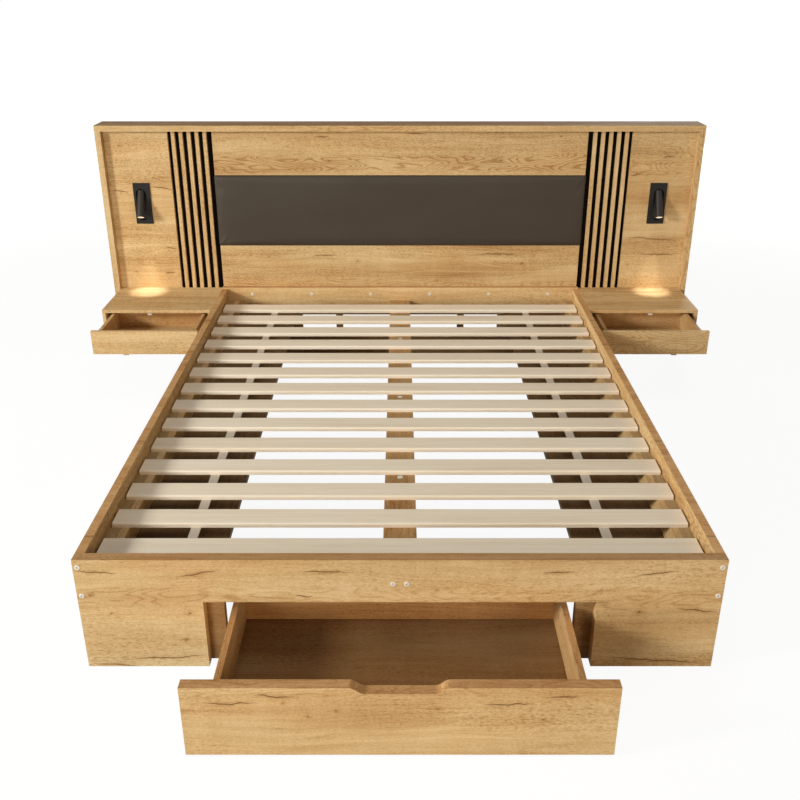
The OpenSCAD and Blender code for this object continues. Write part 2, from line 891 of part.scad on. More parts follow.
module lamp_lens(side) {
    color("ivory") at_lamp(side) translate([0, 0, pivot_drop - tube_l + lens_inset])
        cylinder(d = tube_d - 2 * tube_wall, h = lens_t);
}

headboard_top();
headboard_side(-1);  // headboard_side_left
headboard_side(1);  // headboard_side_right
wing_panel(-1);  // wing_panel_left
wing_panel(1);  // wing_panel_right
upper_panel();
lower_panel();
strip_backings();
decor_strips();
headboard_pad();
pad_board();
head_rail();
head_rail_screws();
head_end_panels();
head_end_frame();
side_rail(-1);  // side_rail_left
side_rail(1);  // side_rail_right
footboard();
frame_bolts();
foot_inner_boards();
side_decks();
slat_ledges();
ledge_liners();
centre_beam();
centre_legs();
beam_bolts();
bed_slats();
slat_straps();
nightstand_top(-1);  // nightstand_top_left
nightstand_top(1);  // nightstand_top_right
nightstand_sides();
nightstand_bottoms();
runner_packers();
drawer_buffers();
fixed_runners();
foot_drawer_front();
foot_drawer_sides();
foot_drawer_back();
foot_drawer_bottom();
roller_brackets();
roller(-1, roller_front_y);  // roller_front_left
roller(1, roller_front_y);  // roller_front_right
roller(-1, roller_rear_y);  // roller_rear_left
roller(1, roller_rear_y);  // roller_rear_right
tray_front(-1);  // tray_front_left
tray_box(-1);  // tray_box_left
tray_bottom(-1);  // tray_bottom_left
tray_runners(-1);  // tray_runners_left
tray_front(1);  // tray_front_right
tray_box(1);  // tray_box_right
tray_bottom(1);  // tray_bottom_right
tray_runners(1);  // tray_runners_right
lamp_plates();
lamp_cans();
lamp_tube(-1);  // lamp_tube_left
lamp_tube(1);  // lamp_tube_right
lamp_lens(-1);  // lamp_lens_left
lamp_lens(1);  // lamp_lens_right
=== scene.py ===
"""Looks of a slatted bed with attached nightstands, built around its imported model.

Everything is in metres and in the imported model's frame: +X is the right of someone who
looks at the footboard, +Y points at the wall and +Z up, with the origin on the floor.
"""

import math

import bmesh
import bpy
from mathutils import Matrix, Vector

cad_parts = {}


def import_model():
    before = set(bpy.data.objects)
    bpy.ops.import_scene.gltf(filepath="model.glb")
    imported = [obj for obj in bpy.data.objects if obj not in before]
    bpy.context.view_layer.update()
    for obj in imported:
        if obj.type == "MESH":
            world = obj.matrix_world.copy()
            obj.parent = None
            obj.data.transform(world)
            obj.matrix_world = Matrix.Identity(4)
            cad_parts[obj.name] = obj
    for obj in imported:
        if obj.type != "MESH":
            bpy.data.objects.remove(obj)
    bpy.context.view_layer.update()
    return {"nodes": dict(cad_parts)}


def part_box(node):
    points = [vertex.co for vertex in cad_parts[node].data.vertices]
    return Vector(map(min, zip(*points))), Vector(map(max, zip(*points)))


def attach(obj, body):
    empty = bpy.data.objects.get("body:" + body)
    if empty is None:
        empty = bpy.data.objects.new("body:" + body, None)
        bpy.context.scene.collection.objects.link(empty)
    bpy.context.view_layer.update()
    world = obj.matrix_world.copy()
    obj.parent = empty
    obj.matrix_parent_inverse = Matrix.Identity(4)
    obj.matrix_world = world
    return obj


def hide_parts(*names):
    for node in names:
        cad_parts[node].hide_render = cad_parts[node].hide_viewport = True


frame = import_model()


# ---------------------------------------------------------------- node helpers


def srgb(red, green, blue):
    """A colour of 0 to 255, as the linear colour that a shader socket holds."""
    shares = [c / 255 for c in (red, green, blue)]
    return tuple(
        c / 12.92 if c <= 0.04045 else ((c + 0.055) / 1.055) ** 2.4 for c in shares
    ) + (1.0,)


class Tree:
    """The node tree of a material or a world, built by functions that return sockets."""

    def __init__(self, owner):
        owner.use_nodes = True
        self.owner = owner
        self.nodes = owner.node_tree.nodes
        self.links = owner.node_tree.links
        self.nodes.clear()

    def add(self, kind, inputs, **settings):
        """A new node, with a link or a plain value for each of its inputs."""
        node = self.nodes.new("ShaderNode" + kind)
        for key, value in settings.items():
            setattr(node, key, value)
        for key, value in inputs.items():
            if isinstance(value, bpy.types.NodeSocket):
                self.links.new(value, node.inputs[key])
            else:
                node.inputs[key].default_value = value
        return node

    def math(self, operation, a, b=0.0):
        return self.add("Math", {0: a, 1: b}, operation=operation).outputs[0]

    def plus(self, a, b):
        return self.math("ADD", a, b)

    def minus(self, a, b):
        return self.math("SUBTRACT", a, b)

    def times(self, a, b):
        return self.math("MULTIPLY", a, b)

    def larger(self, a, b):
        return self.math("MAXIMUM", a, b)

    def apart(self, a, b):
        """How far two numbers are apart."""
        return self.math("ABSOLUTE", self.minus(a, b))

    def vector(self, x, y, z=0.0):
        return self.add("CombineXYZ", {0: x, 1: y, 2: z}).outputs[0]

    def vectors(self, operation, a, b):
        return self.add("VectorMath", {0: a, 1: b}, operation=operation).outputs[0]

    def length(self, vector):
        return self.add("VectorMath", {0: vector}, operation="LENGTH").outputs["Value"]

    def parts(self, vector):
        """A vector's three numbers, under the names X, Y and Z."""
        return self.add("SeparateXYZ", {0: vector}).outputs

    def noise(self, vector, cells, detail=2.0, roughness=0.5):
        """Noise of 0 to 1 with this many cells per metre along each axis."""
        scaled = self.vectors("MULTIPLY", vector, cells)
        inputs = {"Vector": scaled, "Scale": 1.0, "Detail": detail, "Roughness": roughness}
        return self.add("TexNoise", inputs).outputs["Fac"]

    def step(self, value, low, high, start=0.0, end=1.0):
        """A smooth step from start at low to end at high."""
        return self.add(
            "MapRange",
            {"Value": value, "From Min": low, "From Max": high, "To Min": start, "To Max": end},
            interpolation_type="SMOOTHSTEP",
        ).outputs[0]

    # A Mix node has inputs for each kind of data: 2 and 3 are its numbers, 6 and 7 its colours

    def blend(self, share, a, b):
        """A number that goes from a to b as the share goes from 0 to 1."""
        return self.add("Mix", {0: share, 2: a, 3: b}, data_type="FLOAT").outputs[0]

    def mix(self, share, a, b, blend="MIX"):
        """A colour that goes from a to b, or to their product, as the share goes from 0 to 1."""
        node = self.add("Mix", {0: share, 6: a, 7: b}, data_type="RGBA", blend_type=blend)
        return node.outputs[2]

    def ramp(self, value, stops):
        """The colour at a value between stops, each a place and a colour."""
        node = self.add("ValToRGB", {"Fac": value})
        elements = node.color_ramp.elements
        while len(elements) < len(stops):
            elements.new(0.5)
        for element, (place, colour) in zip(elements, stops):
            element.position = place
            element.color = colour
        return node.outputs["Color"]

    def bump(self, height, distance, strength):
        inputs = {"Height": height, "Distance": distance, "Strength": strength}
        return self.add("Bump", inputs).outputs["Normal"]

    def end(self, kind, shader):
        """Ends the tree in an output node of this kind."""
        self.links.new(shader, self.add(kind, {}).inputs["Surface"])

    def surface(self, **inputs):
        """Ends the tree in a Principled shader with these inputs, and returns the material."""
        shader = self.add("BsdfPrincipled", {k.replace("_", " "): v for k, v in inputs.items()})
        self.end("OutputMaterial", shader.outputs[0])
        return self.owner


def material_tree(name):
    """The empty node tree of a new material."""
    return Tree(bpy.data.materials.new(name))


def spot_of(tree):
    """The point of the surface in the model's frame."""
    return tree.add("TexCoord", {}).outputs["Object"]


def facing(tree, axis):
    """1 where the surface faces along an axis, either way, and 0 elsewhere."""
    normal = tree.add("NewGeometry", {}).outputs["True Normal"]
    turned = tree.add(
        "VectorTransform",
        {0: normal},
        vector_type="NORMAL",
        convert_from="WORLD",
        convert_to="OBJECT",
    ).outputs[0]
    return tree.step(tree.math("ABSOLUTE", tree.parts(turned)[axis]), 0.75, 0.85)


# ---------------------------------------------------------------- oak

OAK_STOPS = (
    (0.10, srgb(176, 134, 84)),
    (0.44, srgb(204, 170, 119)),
    (0.66, srgb(218, 188, 138)),
    (0.92, srgb(229, 204, 158)),
)
OAK_CRACK = srgb(104, 68, 38)
# What the wood's colour is multiplied by where its grain is warmer, and on a board's edges as their
# painted shade
OAK_WARM = (0.98, 0.88, 0.78, 1.0)
OAK_EDGE_SHADE = (1.0, 0.84, 0.74)

# The shade of the wood without its grain, and how far each layer of the grain moves it
OAK_SHADE = 0.60
OAK_LAYERS = {
    "curls": 0.62,
    "flecks": -0.27,
    "grit": 0.62,
    "dashes": -0.11,
    "broad": 1.0,
    "grain": 0.62,
    "threads": 0.20,
    "smudges": 0.22,
    "pale lines": 0.16,
    "dark lines": -0.15,
    "curves": -1.0,
    "halo": -0.20,
}
STROKE_DARKNESS = 0.30
CURVE_STRENGTH = 0.28

# How far apart two pieces of the grain lie, along and across it, when their shifts differ by 1
SHIFT_ALONG = 3.7
SHIFT_ACROSS = 1.3

# How far the grain, a board's band of curves and its cracks wave to and fro
GRAIN_WAVES = 0.075
BAND_WAVES = 0.05
CRACK_WAVES = 0.020
CRACK_HALF_WIDTH = 0.0016
CRACK_HALO = 0.010
BAR_DARKNESS = 0.35


def ellipse(t, spot, middle, half_length, half_width, slant=0.0, core=0.15):
    """1 in an ellipse's core on a plane, and 0 from its edge on."""
    away = t.parts(t.vectors("SUBTRACT", spot, (*middle, 0)))
    side = t.minus(away["Y"], t.times(away["X"], slant))
    reach = t.length(
        t.vector(t.times(away["X"], 1 / half_length), t.times(side, 1 / half_width))
    )
    return t.step(reach, core, 1.0, 1.0, 0.0)


def long_lines(t, lines, cells, width, place_cells):
    """Long thin lines in some places, along the level lines of a stretched noise."""
    level = t.apart(t.noise(lines, (0.9, cells, cells)), 0.5)
    places = t.noise(lines, (3.1, place_cells, place_cells), detail=0)
    return t.times(t.step(level, 0.0, width, 1.0, 0.0), t.step(places, 0.42, 0.6))


def short_strokes(t, u, v):
    """Short strokes, one in some cells of a grid."""
    spot = t.vector(t.times(u, 20), t.times(v, 85))
    cell = t.add("TexVoronoi", {"Vector": spot, "Scale": 1.0}, voronoi_dimensions="2D").outputs
    away = t.vectors("SUBTRACT", spot, cell["Position"])
    reach = t.length(t.vectors("MULTIPLY", away, (1 / 0.22, 1 / 0.11, 0)))
    chance = t.add("SeparateColor", {0: cell["Color"]}).outputs[0]
    return t.times(t.step(reach, 0.2, 1.0, 1.0, 0.0), t.math("GREATER_THAN", chance, 0.86))


def nested_curves(t, lines):
    """The nested curves of flat-sawn boards, along the level lines of a noise."""
    field = t.noise(lines, (3.2, 13, 13), roughness=0.4)
    return t.step(t.math("PINGPONG", t.times(field, 21), 0.5), 0.0, 0.26, 1.0, 0.0)


def marks(t, plane, straight, cracks, knots, dark):
    """Adds cracks and knots to what is dark, and gives the halo around them too."""
    wander = t.minus(t.noise(straight, (17, 5, 5), detail=4, roughness=0.6), 0.5)
    ragged = t.vectors("ADD", plane, t.vector(0.0, t.times(wander, CRACK_WAVES)))
    halo = 0.0
    for *middle, half, slant in cracks:
        dark = t.larger(dark, ellipse(t, ragged, middle, half, CRACK_HALF_WIDTH, slant, 0.60))
        halo = t.larger(halo, ellipse(t, ragged, middle, half * 1.2, CRACK_HALO, slant))
    for *middle, radius in knots:
        dark = t.larger(dark, ellipse(t, ragged, middle, radius, radius * 0.55))
        halo = t.larger(halo, ellipse(t, ragged, middle, radius * 3.5, radius * 2.2))
    return dark, halo


def oak(
    name, along, across, shift, tone_and_shade=1.0, edge=1.0, shade_warmth=1.0,
    turned=False, bars=(), figure=None, cracks=(), knots=(),
):
    """Natural oak whose grain runs along one axis. across is the other axis of its broad face.

    shift picks another piece of the grain. tone is the board's lightness, lowered as painted
    shade on pieces that lie in shadow, and dusk below 1 makes it warmer, as painted shade too.
    edge is the lightness of the faces that look along the across axis, below 1 painted shade
    on those faces. On turned boards the grain of those faces runs across the board, and bars
    are the places of dark lines across them. figure is the middle, half width and strength of
    a band with nested curves, across the grain. A crack is its middle, half length and slant,
    and a knot its middle and radius.
    """
    t = material_tree(name)
    point = t.parts(spot_of(t))
    thick = next(axis for axis in "XYZ" if axis not in (along, across))
    u, v, w = point[along], point[across], point[thick]
    on_edge = facing(t, across) if edge != 1.0 or turned else None
    if turned:
        on_face = t.minus(1.0, on_edge)
        u, v, w = t.blend(on_edge, u, w), t.blend(on_edge, v, u), t.times(w, on_face)
    plane = t.vector(u, v)
    u = t.plus(u, SHIFT_ALONG * shift)
    v = t.plus(v, SHIFT_ACROSS * shift)

    # All lines of the grain follow the same slow waves
    straight = t.vector(u, v, w)
    bend = t.minus(t.noise(straight, (1.5, 4.5, 4.5)), 0.5)
    flow = t.plus(v, t.times(bend, GRAIN_WAVES))
    lines = t.vector(u, flow, w)
    broad = t.noise(lines, (1.3, 9, 9))
    grain = t.noise(lines, (2.4, 47, 47), detail=4, roughness=0.55)
    threads = t.noise(lines, (7, 210, 210))
    dashes = t.step(t.noise(lines, (11, 240, 240)), 0.52, 0.68)
    warm = t.step(t.noise(lines, (2.2, 10, 10)), 0.42, 0.66)
    curly = t.step(t.noise(lines, (1.1, 6, 6)), 0.40, 0.60, 0.25, 1.0)
    curls = t.noise(straight, (85, 260, 260), detail=3, roughness=0.6)
    flecks = t.step(t.noise(straight, (95, 280, 280), detail=1), 0.50, 0.66)
    grit = t.noise(straight, (170, 430, 430), detail=1)
    smudges = t.noise(straight, (34, 9, 9))

    # Nested curves lie in the board's one band, or else in some places
    if figure:
        middle, half_width, strength = figure
        wavy = t.plus(v, t.times(bend, BAND_WAVES))
        away = t.apart(wavy, middle + SHIFT_ACROSS * shift)
        zone = t.step(away, half_width * 0.5, half_width, 1.0, 0.0)
    else:
        zone = t.step(t.noise(lines, (0.8, 5, 5), detail=0), 0.56, 0.66)
        strength = CURVE_STRENGTH
    curves = t.times(nested_curves(t, lines), zone)
    curly = t.times(curly, t.blend(zone, 1.0, 1.0 - 1.2 * strength))

    strokes = t.times(short_strokes(t, u, flow), STROKE_DARKNESS)
    dark, halo = marks(t, plane, straight, cracks, knots, strokes)
    layers = {
        "curls": t.times(t.minus(curls, 0.5), curly),
        "flecks": t.times(flecks, curly),
        "grit": t.minus(grit, 0.5),
        "dashes": dashes,
        "broad": t.minus(broad, 0.5),
        "grain": t.minus(grain, 0.5),
        "threads": t.minus(threads, 0.5),
        "smudges": t.minus(smudges, 0.5),
        "pale lines": long_lines(t, lines, cells=15, width=0.016, place_cells=7),
        "dark lines": long_lines(t, lines, cells=23, width=0.014, place_cells=9),
        "curves": t.times(curves, strength),
        "halo": halo,
    }
    shade = OAK_SHADE
    for layer, socket in layers.items():
        shade = t.plus(shade, t.times(socket, OAK_LAYERS[layer]))
    colour = t.ramp(shade, OAK_STOPS)
    colour = t.mix(t.times(warm, 0.55), colour, t.mix(1.0, colour, OAK_WARM, "MULTIPLY"))
    colour = t.mix(t.times(dark, 0.85), colour, OAK_CRACK)

    # The board's lightness and warmth, lowered and warmed as painted shade on pieces in shadow; its
    # edges have their own, darker and warmer as painted shade
    shade_warmth_rgb = (1.0, shade_warmth**0.5, shade_warmth)
    level = tuple(tone_and_shade * share for share in shade_warmth_rgb) + (1.0,)
    if on_edge is not None:
        level = t.blend(on_edge, tone_and_shade, tone_and_shade * edge)
        for bar in bars:
            line = t.step(t.apart(point[along], bar), 0.001, 0.006, 1.0, 0.0)
            line = t.times(t.times(line, on_edge), BAR_DARKNESS)
            level = t.times(level, t.minus(1.0, line))
        shares = [t.blend(on_edge, a, a * b) for a, b in zip(shade_warmth_rgb, OAK_EDGE_SHADE)]
        level = t.vector(*(t.times(level, share) for share in shares))
    relief = t.plus(t.times(curls, 0.6), t.times(grain, 0.5))
    return t.surface(
        Base_Color=t.mix(1.0, colour, level, "MULTIPLY"),
        Roughness=t.step(grain, 0.3, 0.7, 0.70, 0.60),
        Specular_IOR_Level=0.13,
        Normal=t.bump(t.minus(relief, t.times(dark, 1.6)), 0.0005, 0.5),
    )


# ---------------------------------------------------------------- other materials

TAPE_THREAD = 0.0021

# How far behind a cap's face its painted shade round the side and at the bottom of its socket
# starts and ends
CAP_SIDE_SHADE = (0.0001, 0.0003)
CAP_SOCKET_SHADE = (0.0012, 0.0018)


def birch(name, along, across, shift):
    """Pale sanded birch with faint straight grain."""
    t = material_tree(name)
    point = t.parts(spot_of(t))
    thick = next(axis for axis in "XYZ" if axis not in (along, across))
    line = t.vector(t.plus(point[along], shift), point[across], point[thick])
    grain = t.noise(line, (3, 110, 110), detail=4, roughness=0.6)
    fine = t.noise(line, (26, 520, 520), detail=2, roughness=0.6)
    broad = t.noise(line, (1.4, 9, 9), detail=1)
    shade = 0.5
    for layer, share in ((grain, 0.9), (fine, 0.4), (broad, 0.7)):
        shade = t.plus(shade, t.times(t.minus(layer, 0.5), share))
    stops = (
        (0.15, srgb(234, 219, 192)),
        (0.5, srgb(246, 234, 212)),
        (0.85, srgb(252, 244, 228)),
    )
    return t.surface(
        Base_Color=t.ramp(shade, stops),
        Roughness=0.6,
        Specular_IOR_Level=0.25,
        Normal=t.bump(t.plus(fine, grain), 0.0003, 0.4),
    )


def upholstery():
    """Smooth dark artificial leather with a fine grain."""
    t = material_tree("upholstery")
    spot = spot_of(t)
    pebble = t.add(
        "TexVoronoi", {"Vector": spot, "Scale": 620.0, "Smoothness": 0.6}, feature="SMOOTH_F1"
    ).outputs["Distance"]
    crease = t.noise(spot, (900, 900, 900))
    cloud = t.noise(spot, (3.2, 3.2, 7.0), detail=3)
    colour = t.ramp(cloud, [(0.3, srgb(57, 48, 38)), (0.7, srgb(62, 53, 42))])
    colour = t.mix(t.step(pebble, 0.35, 0.8, 0.0, 0.35), colour, srgb(48, 40, 31))
    return t.surface(
        Base_Color=colour,
        Roughness=t.step(cloud, 0.3, 0.7, 0.60, 0.54),
        Specular_IOR_Level=0.3,
        Sheen_Weight=0.08,
        Sheen_Roughness=0.5,
        Normal=t.bump(t.plus(pebble, t.times(crease, 0.4)), 0.00025, 0.45),
    )


def plain(
    name, colour, roughness, metallic=0.0, grain=(400, 400, 400), contrast=0.12, relief=0.0002,
    **more,
):
    """A moulded, painted or metal surface with a mottle that has grain cells per metre."""
    t = material_tree(name)
    mottle = t.noise(spot_of(t), grain, detail=3, roughness=0.6)
    darker = tuple(c * (1 - contrast) for c in colour[:3]) + (1.0,)
    lighter = tuple(min(1.0, c * (1 + contrast)) for c in colour[:3]) + (1.0,)
    return t.surface(
        Base_Color=t.ramp(mottle, [(0.3, darker), (0.7, lighter)]),
        Roughness=t.step(mottle, 0.3, 0.7, roughness * 0.88, roughness * 1.12),
        Metallic=metallic,
        Normal=t.bump(mottle, relief, 0.5),
        **more,
    )


def cap(name, node):
    """Off-white cap plastic, with painted shade round its side and in its socket."""
    t = material_tree(name)
    spot = spot_of(t)
    y = t.parts(spot)["Y"]
    face_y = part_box(node)[0].y
    wall = t.step(facing(t, "Y"), 0.0, 1.0, 1.0, 0.0)
    side = t.times(wall, t.step(y, *(face_y + depth for depth in CAP_SIDE_SHADE)))
    socket = t.larger(side, t.step(y, *(face_y + depth for depth in CAP_SOCKET_SHADE)))
    mottle = t.noise(spot, (500, 500, 500))
    colour = t.mix(mottle, srgb(232, 226, 214), srgb(240, 235, 226))
    # Painted shade on the cap's side and in its socket
    colour = t.mix(socket, colour, srgb(220, 213, 202))
    return t.surface(Base_Color=colour, Roughness=0.45, Normal=t.bump(mottle, 0.0001, 0.4))


def tape():
    """Woven tape of the slats' straps."""
    t = material_tree("tape")
    point = t.parts(spot_of(t))
    turns = 2 * math.pi / TAPE_THREAD
    waves = [t.math("SINE", t.times(point[axis], turns)) for axis in "XY"]
    weave = t.times(*waves)
    colour = t.mix(t.step(weave, -1.0, 1.0), srgb(186, 175, 158), srgb(212, 201, 184))
    return t.surface(Base_Color=colour, Roughness=0.85, Normal=t.bump(weave, 0.0003, 0.6))


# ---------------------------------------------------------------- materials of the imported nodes

# Places of some boards' cracks (middle, half length, slant) and knots (middle, radius), along
# and across the grain
WING_LEFT_CRACKS = (
    (-1.097, 0.690, 0.032, -0.10),
    (-0.930, 0.703, 0.050, -0.12),
    (-0.922, 0.462, 0.030, -0.15),
    (-0.938, 0.357, 0.026, 0.0),
)
WING_LEFT_KNOTS = ((-0.945, 0.357, 0.006), (-1.085, 0.868, 0.005), (-1.075, 0.360, 0.004))
WING_RIGHT_CRACKS = (
    (0.922, 0.757, 0.026, 0.10),
    (1.049, 0.823, 0.028, 0.05),
    (1.011, 0.500, 0.115, -0.055),
    (1.045, 0.437, 0.085, 0.03),
)
WING_RIGHT_KNOTS = ((1.03, 0.820, 0.005), (0.925, 0.395, 0.004))
UPPER_CRACKS = ((0.061, 0.911, 0.048, -0.02), (-0.30, 0.900, 0.03, 0.03))
UPPER_KNOTS = (
    (-0.276, 0.811, 0.007),
    (0.392, 0.811, 0.007),
    (0.62, 0.90, 0.004),
    (-0.52, 0.89, 0.004),
)
LOWER_CRACKS = ((-0.308, 0.430, 0.060, 0.02), (0.397, 0.435, 0.100, -0.02))
LOWER_KNOTS = ((-0.171, 0.405, 0.006), (0.496, 0.400, 0.006), (-0.53, 0.425, 0.004))
FOOT_CRACKS = (
    (-0.675, 0.264, 0.052, -0.03),
    (-0.450, 0.261, 0.055, 0.15),
    (-0.168, 0.264, 0.056, -0.04),
    (0.352, 0.264, 0.042, 0.0),
    (0.571, 0.261, 0.054, 0.15),
    (0.672, 0.161, 0.050, -0.05),
    (-0.541, 0.026, 0.098, 0.06),
    (0.588, 0.018, 0.130, -0.08),
    (-0.215, 0.200, 0.022, -0.05),
    (-0.66, 0.004, 0.06, -0.08),
)
FOOT_KNOTS = (
    (-0.477, 0.153, 0.006),
    (-0.493, 0.076, 0.005),
    (0.543, 0.153, 0.006),
    (-0.655, 0.150, 0.004),
    (-0.698, 0.205, 0.004),
)
DRAWER_CRACKS = (
    (-0.342, 0.141, 0.060, 0.02),
    (0.220, 0.141, 0.062, -0.01),
    (-0.255, 0.160, 0.045, -0.08),
    (0.330, 0.158, 0.040, 0.06),
)
DRAWER_KNOTS = (
    (0.076, 0.130, 0.004),
    (-0.129, 0.122, 0.004),
    (-0.186, 0.106, 0.004),
    (0.290, 0.100, 0.004),
    (-0.235, 0.143, 0.003),
)

# Dark lines across the rails' upper edges
foot_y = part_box("footboard")[0].y
RAIL_BARS = tuple(foot_y + reach for reach in (0.096, 0.576, 1.3145, 1.5576))

# An edge below 1 is painted shade on a board's top and bottom faces
HEAD_OAK = {
    "headboard_top": oak("oak_top", "X", "Z", shift=1.1, tone_and_shade=0.95, edge=0.42),
    "headboard_side_left": oak("oak_side_left", "Z", "X", shift=2.3, tone_and_shade=0.93),
    "headboard_side_right": oak("oak_side_right", "Z", "X", shift=3.1),
    "wing_panel_left": oak(
        "oak_wing_left", "X", "Z", shift=4.2, figure=(0.715, 0.05, 0.30),
        cracks=WING_LEFT_CRACKS, knots=WING_LEFT_KNOTS,
    ),
    "wing_panel_right": oak(
        "oak_wing_right", "X", "Z", shift=5.7, tone_and_shade=0.97, figure=(0.81, 0.085, 0.26),
        cracks=WING_RIGHT_CRACKS, knots=WING_RIGHT_KNOTS,
    ),
    "upper_panel": oak(
        "oak_upper", "X", "Z", shift=6.4, tone_and_shade=0.94, figure=(0.797, 0.042, 0.48),
        cracks=UPPER_CRACKS, knots=UPPER_KNOTS,
    ),
    "lower_panel": oak(
        "oak_lower", "X", "Z", shift=7.9, tone_and_shade=0.93, figure=(0.30, 0.03, 0.25),
        cracks=LOWER_CRACKS, knots=LOWER_KNOTS,
    ),
    "decor_strips": oak("oak_strips", "Z", "X", shift=8.3),
    "head_rail": oak(
        "oak_head_rail", "X", "Z", shift=9.6, tone_and_shade=1.05, edge=0.75, figure=(0.21, 0.03, 0.25)
    ),
    # Painted shade: the end panels and frame under the head rail are darker and warmer for the
    # shadow they lie in
    "head_end_panels": oak("oak_end_panels", "X", "Z", shift=10.2, tone_and_shade=0.5, shade_warmth=0.75),
    "head_end_frame": oak("oak_end_frame", "X", "Z", shift=11.5, tone_and_shade=0.5, shade_warmth=0.75),
    "pad_board": oak("oak_pad_board", "X", "Z", shift=12.5, tone_and_shade=0.85),
}
BED_OAK = {
    # Painted shade: the left rail is darker than the right one, for its inner face in shadow
    "side_rail_left": oak(
        "oak_rail_left", "Y", "Z", shift=14.3, tone_and_shade=0.84, turned=True, bars=RAIL_BARS
    ),
    "side_rail_right": oak(
        "oak_rail_right", "Y", "Z", shift=15.8, edge=0.96, turned=True, bars=RAIL_BARS
    ),
    "footboard": oak(
        "oak_footboard", "X", "Z", shift=16.2, tone_and_shade=1.02, edge=0.67,
        figure=(0.194, 0.034, 0.24), cracks=FOOT_CRACKS, knots=FOOT_KNOTS,
    ),
    # Painted shade: the boards behind the footboard, and the decks, ledges and beam under the
    # slats, are darker and warmer for the shade they lie in
    "foot_inner_boards": oak("oak_inner_boards", "X", "Z", shift=17.4, tone_and_shade=0.62, shade_warmth=0.75),
    "side_decks": oak("oak_decks", "Y", "X", shift=18.9, tone_and_shade=0.32, shade_warmth=0.72),
    "slat_ledges": oak("oak_ledges", "Y", "Z", shift=19.1, tone_and_shade=0.55),
    "ledge_liners": oak("oak_liners", "Y", "Z", shift=19.3, tone_and_shade=0.85),
    "centre_beam": oak("oak_beam", "Y", "X", shift=20.6, tone_and_shade=0.66, shade_warmth=0.75),
    "centre_legs": oak("oak_legs", "Z", "X", shift=21.2),
    "foot_drawer_front": oak(
        "oak_drawer_front", "X", "Z", shift=22.7, tone_and_shade=1.08, edge=0.72,
        figure=(0.172, 0.022, 0.20), cracks=DRAWER_CRACKS, knots=DRAWER_KNOTS,
    ),
    # Painted shade: the drawer's sides, back and bottom are darker and warmer for the shade inside
    # the drawer
    "foot_drawer_sides": oak(
        "oak_drawer_sides", "Y", "Z", shift=23.1, tone_and_shade=0.78, edge=0.94, shade_warmth=0.82
    ),
    "foot_drawer_back": oak("oak_drawer_back", "X", "Z", shift=24.4, tone_and_shade=0.98, shade_warmth=0.66),
    "foot_drawer_bottom": oak("oak_drawer_bottom", "X", "Y", shift=25.9, tone_and_shade=0.34, shade_warmth=0.62),
}
STAND_OAK = {
    "nightstand_top_left": oak("oak_stand_top_left", "X", "Y", shift=26.3, tone_and_shade=0.96),
    "nightstand_top_right": oak("oak_stand_top_right", "X", "Y", shift=27.5),
    "nightstand_sides": oak("oak_stand_sides", "Y", "Z", shift=28.8),
    "nightstand_bottoms": oak("oak_stand_bottoms", "X", "Y", shift=29.4),
    "runner_packers": oak("oak_packers", "Y", "Z", shift=30.1),
    "tray_front_left": oak("oak_tray_front_left", "X", "Z", shift=31.2, tone_and_shade=0.94),
    "tray_front_right": oak("oak_tray_front_right", "X", "Z", shift=32.2),
    # Painted shade: the trays' boxes are darker and warmer for the shade inside them, the right one
    # more
    "tray_box_left": oak("oak_tray_box_left", "X", "Z", shift=33.6, tone_and_shade=0.90, shade_warmth=0.85),
    "tray_box_right": oak("oak_tray_box_right", "X", "Z", shift=34.5, tone_and_shade=0.84, shade_warmth=0.80),
    "tray_bottom_left": oak("oak_tray_bottom_left", "X", "Y", shift=35.8, tone_and_shade=0.95),
    "tray_bottom_right": oak("oak_tray_bottom_right", "X", "Y", shift=36.1, tone_and_shade=0.95),
}
steel = plain("zinc_steel", srgb(172, 172, 174), 0.38, metallic=1.0, grain=(30, 900, 900))
rubber = plain("roller_rubber", srgb(38, 38, 38), 0.7)
lamp_paint = plain(
    "lamp_paint", srgb(30, 27, 24), 0.6, grain=(900, 900, 900), relief=0.0001,
    Specular_IOR_Level=0.2,
)
lamp_metal = plain(
    "lamp_metal", srgb(44, 39, 35), 0.44, metallic=0.7, grain=(900, 900, 60), relief=0.00008
)
lens_white = plain(
    "lens_white", srgb(255, 246, 225), 0.4, relief=0.0,
    Emission_Color=srgb(255, 240, 214), Emission_Strength=0.6,
)
OTHERS = {
    "strip_backings": plain(
        "black_board", srgb(13, 10, 7), 0.9, grain=(600, 600, 30), Specular_IOR_Level=0.08
    ),
    "head_rail_screws": cap("cap_plastic_head", "head_rail_screws"),
    "frame_bolts": cap("cap_plastic_foot", "frame_bolts"),
    "beam_bolts": plain("bolt_head", srgb(224, 220, 212), 0.4, metallic=0.4),
    "bed_slats": birch("birch_slats", "X", "Y", shift=0.4),
    "slat_straps": tape(),
    "drawer_buffers": plain("buffer_plastic", srgb(236, 234, 230), 0.45),
    "fixed_runners": steel,
    "tray_runners_left": steel,
    "tray_runners_right": steel,
    "roller_brackets": steel,
    "roller_front_left": rubber,
    "roller_front_right": rubber,
    "roller_rear_left": rubber,
    "roller_rear_right": rubber,
    "lamp_plates": lamp_paint,
    "lamp_cans": plain("lamp_recess", srgb(26, 23, 21), 0.6),
    "lamp_tube_left": lamp_metal,
    "lamp_tube_right": lamp_metal,
    "lamp_lens_left": lens_white,
    "lamp_lens_right": lens_white,
}
for node, material in {**HEAD_OAK, **BED_OAK, **STAND_OAK, **OTHERS}.items():
    frame["nodes"][node].data.materials.clear()
    frame["nodes"][node].data.materials.append(material)


# ---------------------------------------------------------------- the headboard's pad

